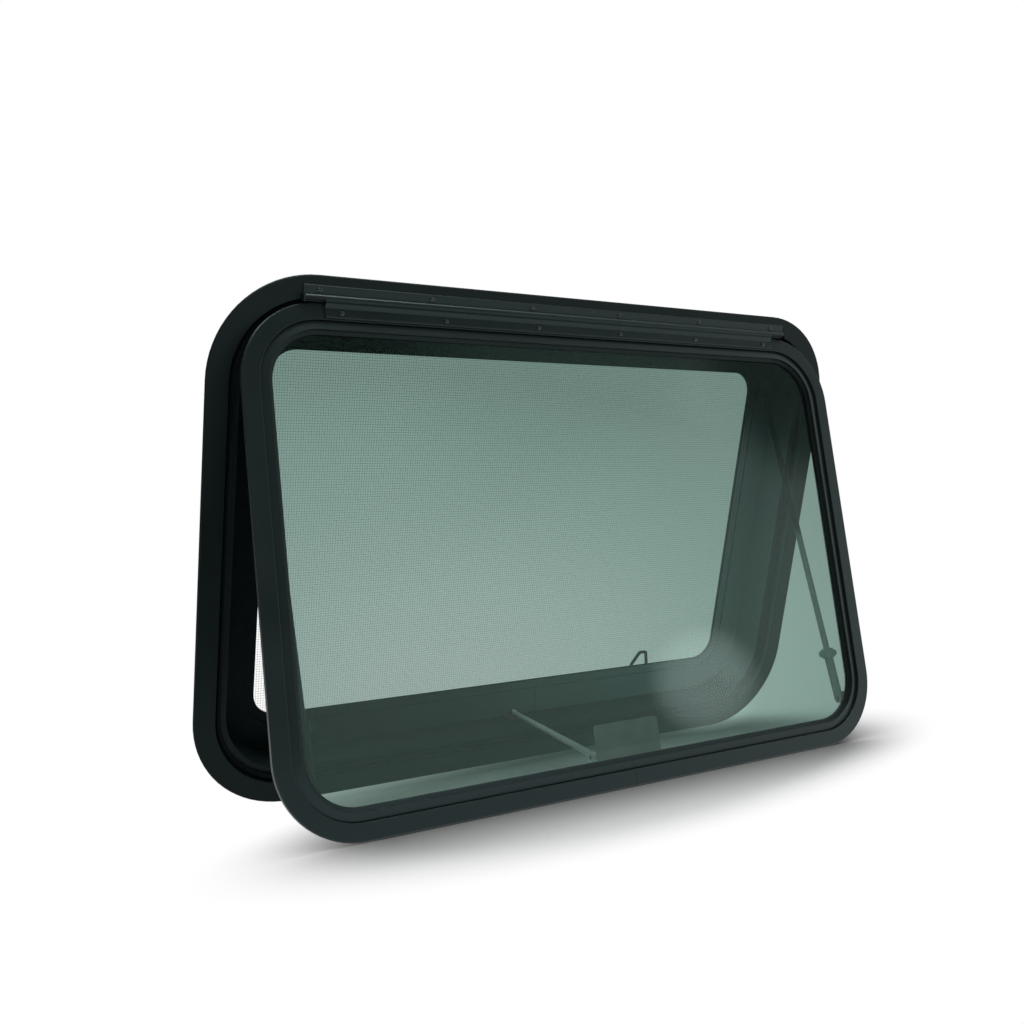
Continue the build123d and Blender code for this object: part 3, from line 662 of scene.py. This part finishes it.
# Ellipses past which the floor is plain white, seen by itself and through the pane: centre, turn, radii
# and the share of the radii where the fade starts
FADE_SEEN = ((0.058, 0.085, 0), radians(-9.6), (0.635, 0.248, 1), 0.61)
FADE_THROUGH_PANE = ((0.05, 0.055, 0), radians(-4), (0.76, 0.30, 1), 0.5)

# How white the floor is in gloss, and the shade it takes on where the window stands close
FLOOR_MIRRORED = 0.7
CLOSE_DISTANCE = 0.15
CLOSE_SAMPLES = 8
CLOSE_POWER = 3.0
FLOOR_SHADES = ((0.0, (0.15, 0.15, 0.15)), (1.0, (0.93, 0.93, 0.93)))
WHITE = (1, 1, 1, 1)


def stage_sheet(name, corners):
    """A flat stage piece from its corners."""
    mesh = bpy.data.meshes.new(name)
    mesh.from_pydata(corners, [], [range(len(corners))])
    sheet = bpy.data.objects.new(name, mesh)
    bpy.context.scene.collection.objects.link(sheet)
    return sheet


def ellipse_fade(tree, centre, turn, radii, start):
    """0 inside an ellipse on the floor, rising to 1 at its edge."""
    place = mapped_place(tree, "TEXTURE", Location=centre, Rotation=(0, 0, turn), Scale=radii)
    return map_range(tree, length_of(tree, place), (start, 1), smooth=True)


def floor_material():
    """White floor that shows shadows near the window, is plain white beyond and clear from below."""
    material, tree, shader = new_material("floor_white")
    path = tree.nodes.new("ShaderNodeLightPath")
    mirrored = math_node(
        tree, "SUBTRACT", path.outputs["Is Glossy Ray"], path.outputs["Is Transmission Ray"],
    )
    white = math_node(tree, "MULTIPLY", mirrored, FLOOR_MIRRORED)
    for ray, ellipse in (("Is Camera Ray", FADE_SEEN), ("Is Transmission Ray", FADE_THROUGH_PANE)):
        far = math_node(tree, "MULTIPLY", path.outputs[ray], ellipse_fade(tree, *ellipse))
        white = math_node(tree, "MAXIMUM", white, far)
    close = add(tree, "ShaderNodeAmbientOcclusion", Distance=CLOSE_DISTANCE)
    close.samples = CLOSE_SAMPLES
    openness = math_node(tree, "POWER", close.outputs["AO"], CLOSE_POWER)
    lit = math_node(tree, "MULTIPLY", seen_directly(tree, path), openness)
    tree.links.new(ramp(tree, lit, FLOOR_SHADES), shader.inputs["Base Color"])
    set_inputs(shader, Roughness=0.9, Specular_IOR_Level=0.0)
    below = tree.nodes.new("ShaderNodeNewGeometry").outputs["Backfacing"]
    glow = add(tree, "ShaderNodeEmission", Color=WHITE, Strength=1.0)
    clear = add(tree, "ShaderNodeBsdfTransparent", Color=WHITE)
    surface = mix_shaders(tree, white, shader.outputs["BSDF"], glow.outputs["Emission"])
    surface = mix_shaders(tree, below, surface, clear.outputs["BSDF"])
    tree.links.new(surface, tree.nodes["Material Output"].inputs["Surface"])
    return material


floor = stage_sheet("floor", [
    Vector((u * FLOOR_HALF, v * FLOOR_HALF, 0)) for u, v in ((-1, -1), (-1, 1), (1, 1), (1, -1))
])
floor.matrix_world = axes_at((FLOOR_BACK + FLOOR_FRONT) / 2, X_AXIS, floor_along, -floor_up)
floor.data.materials.append(floor_material())

# Studio: even light from all round, and white behind the window. In gloss the surround is grey, paler to
# the right, darker above a slanting edge, and brightest overhead. A small far lamp and a dark corner show
# in the pane. Spans are of a direction's reach along the axis named.
AMBIENT = 0.62
SIDE_SPAN = (0.42, 0.80)
SIDE_GREY = (0.15, 0.84)
EDGE_SLANT = 0.58
EDGE_SPAN = (-0.13, -0.03)
EDGE_SIDE_SPAN = (0.05, 0.3)
EDGE_RISE_SPAN = (0.55, 0.34)
EDGE_SHADE = 0.3
DARK_CORNER = Vector((0.745, -0.48, 0.465)).normalized()
DARK_CORNER_SPAN = (0.9903, 0.9962)
DARK_CORNER_SHADE = 0.1
OVERHEAD_SPAN = (0.8, 0.95)
OVERHEAD_LIGHT = 5
FAR_LAMP = Vector((0.652, -0.715, 0.254)).normalized()
FAR_LAMP_SPAN = (0.9984, 0.9999)
FAR_LAMP_LIGHT = 2.8


def surround_gloss(tree):
    """How bright the surround is in gloss, by direction."""
    direction = tree.nodes.new("ShaderNodeTexCoord").outputs["Generated"]
    side = along_axis(tree, direction, X_AXIS)
    rise = along_axis(tree, direction, floor_up)
    slant = along_axis(tree, direction, floor_up - X_AXIS * EDGE_SLANT)
    dark = map_range(tree, slant, EDGE_SPAN, smooth=True)
    for value, span in ((side, EDGE_SIDE_SPAN), (rise, EDGE_RISE_SPAN)):
        dark = math_node(tree, "MULTIPLY", dark, map_range(tree, value, span, smooth=True))
    toward_corner = along_axis(tree, direction, DARK_CORNER)
    corner = map_range(tree, toward_corner, DARK_CORNER_SPAN, smooth=True)
    gloss = map_range(tree, side, SIDE_SPAN, SIDE_GREY, smooth=True)
    for shade, least in ((dark, EDGE_SHADE), (corner, DARK_CORNER_SHADE)):
        gloss = math_node(tree, "MULTIPLY", gloss, map_range(tree, shade, (0, 1), (1, least)))
    toward_lamp = along_axis(tree, direction, FAR_LAMP)
    for value, span, light in (
        (rise, OVERHEAD_SPAN, OVERHEAD_LIGHT), (toward_lamp, FAR_LAMP_SPAN, FAR_LAMP_LIGHT),
    ):
        gloss = math_node(tree, "ADD", gloss, map_range(tree, value, span, (0, light), smooth=True))
    return gloss


def studio_world():
    """White to the eye and through glass, even as light, and brighter or darker in gloss."""
    world = bpy.data.worlds.new("studio")
    world.use_nodes = True
    tree = world.node_tree
    path = tree.nodes.new("ShaderNodeLightPath")
    strength = AMBIENT
    for share, value in (
        (path.outputs["Is Glossy Ray"], surround_gloss(tree)), (seen_directly(tree, path), 1.0),
    ):
        mix = tree.nodes.new("ShaderNodeMix")
        tree.links.new(share, mix.inputs["Factor"])
        set_or_link(tree, mix.inputs["A"], strength)
        set_or_link(tree, mix.inputs["B"], value)
        strength = mix.outputs["Result"]
    background = tree.nodes["Background"]
    background.inputs["Color"].default_value = WHITE
    tree.links.new(strength, background.inputs["Strength"])
    return world


def area_lamp(name, place, target, size, power, glossy):
    """A square soft box aimed at a point."""
    lamp = bpy.data.lights.new(name, "AREA")
    lamp.energy = power
    lamp.size = size
    holder = bpy.data.objects.new(name, lamp)
    holder.location = place
    holder.rotation_euler = (Vector(target) - Vector(place)).to_track_quat("-Z", "Y").to_euler()
    holder.visible_glossy = glossy
    bpy.context.scene.collection.objects.link(holder)


bpy.context.scene.world = studio_world()
area_lamp(
    "overhead_box", place=(-0.15, 1.15, 2.3), target=(0, -0.1, 0.25), size=1.3, power=26, glossy=True,
)
area_lamp(
    "front_box", place=(-1.2, -2.0, 1.6), target=(0.1, 0, 0.3), size=1.2, power=4, glossy=False,
)

# Shade behind the insect mesh, which keeps the lamps' light from falling through the window onto the floor
SHADE_Y = 0.067
SHADE_HALF_WIDTH = 0.388
SHADE_HALF_HEIGHT = 0.236
shade = stage_sheet("shade", [
    Vector((u * SHADE_HALF_WIDTH, SHADE_Y, FRAME_MIDDLE + v * SHADE_HALF_HEIGHT))
    for u, v in ((-1, -1), (1, -1), (1, 1), (-1, 1))
])
shade.visible_camera = False
shade.visible_diffuse = False
shade.visible_glossy = False
shade.visible_transmission = False

# Camera, solved from the photograph
CAMERA_PLACE = Vector((-0.7889, -1.1552, 0.6679))
CAMERA_RIGHT = Vector((0.85502, -0.50874, 0.10063))
CAMERA_UP = Vector((0.02947, 0.24138, 0.96998))
SENSOR_MM = 36
LENS_MM = 36.53
NEAREST = 0.01
camera = bpy.data.objects.new("camera", bpy.data.cameras.new("camera"))
camera.data.sensor_width = SENSOR_MM
camera.data.lens = LENS_MM
camera.data.clip_start = NEAREST
camera.matrix_world = axes_at(
    CAMERA_PLACE, CAMERA_RIGHT, CAMERA_UP, CAMERA_RIGHT.cross(CAMERA_UP),
)
bpy.context.scene.collection.objects.link(camera)
bpy.context.scene.camera = camera
bpy.context.scene.view_settings.view_transform = "Standard"
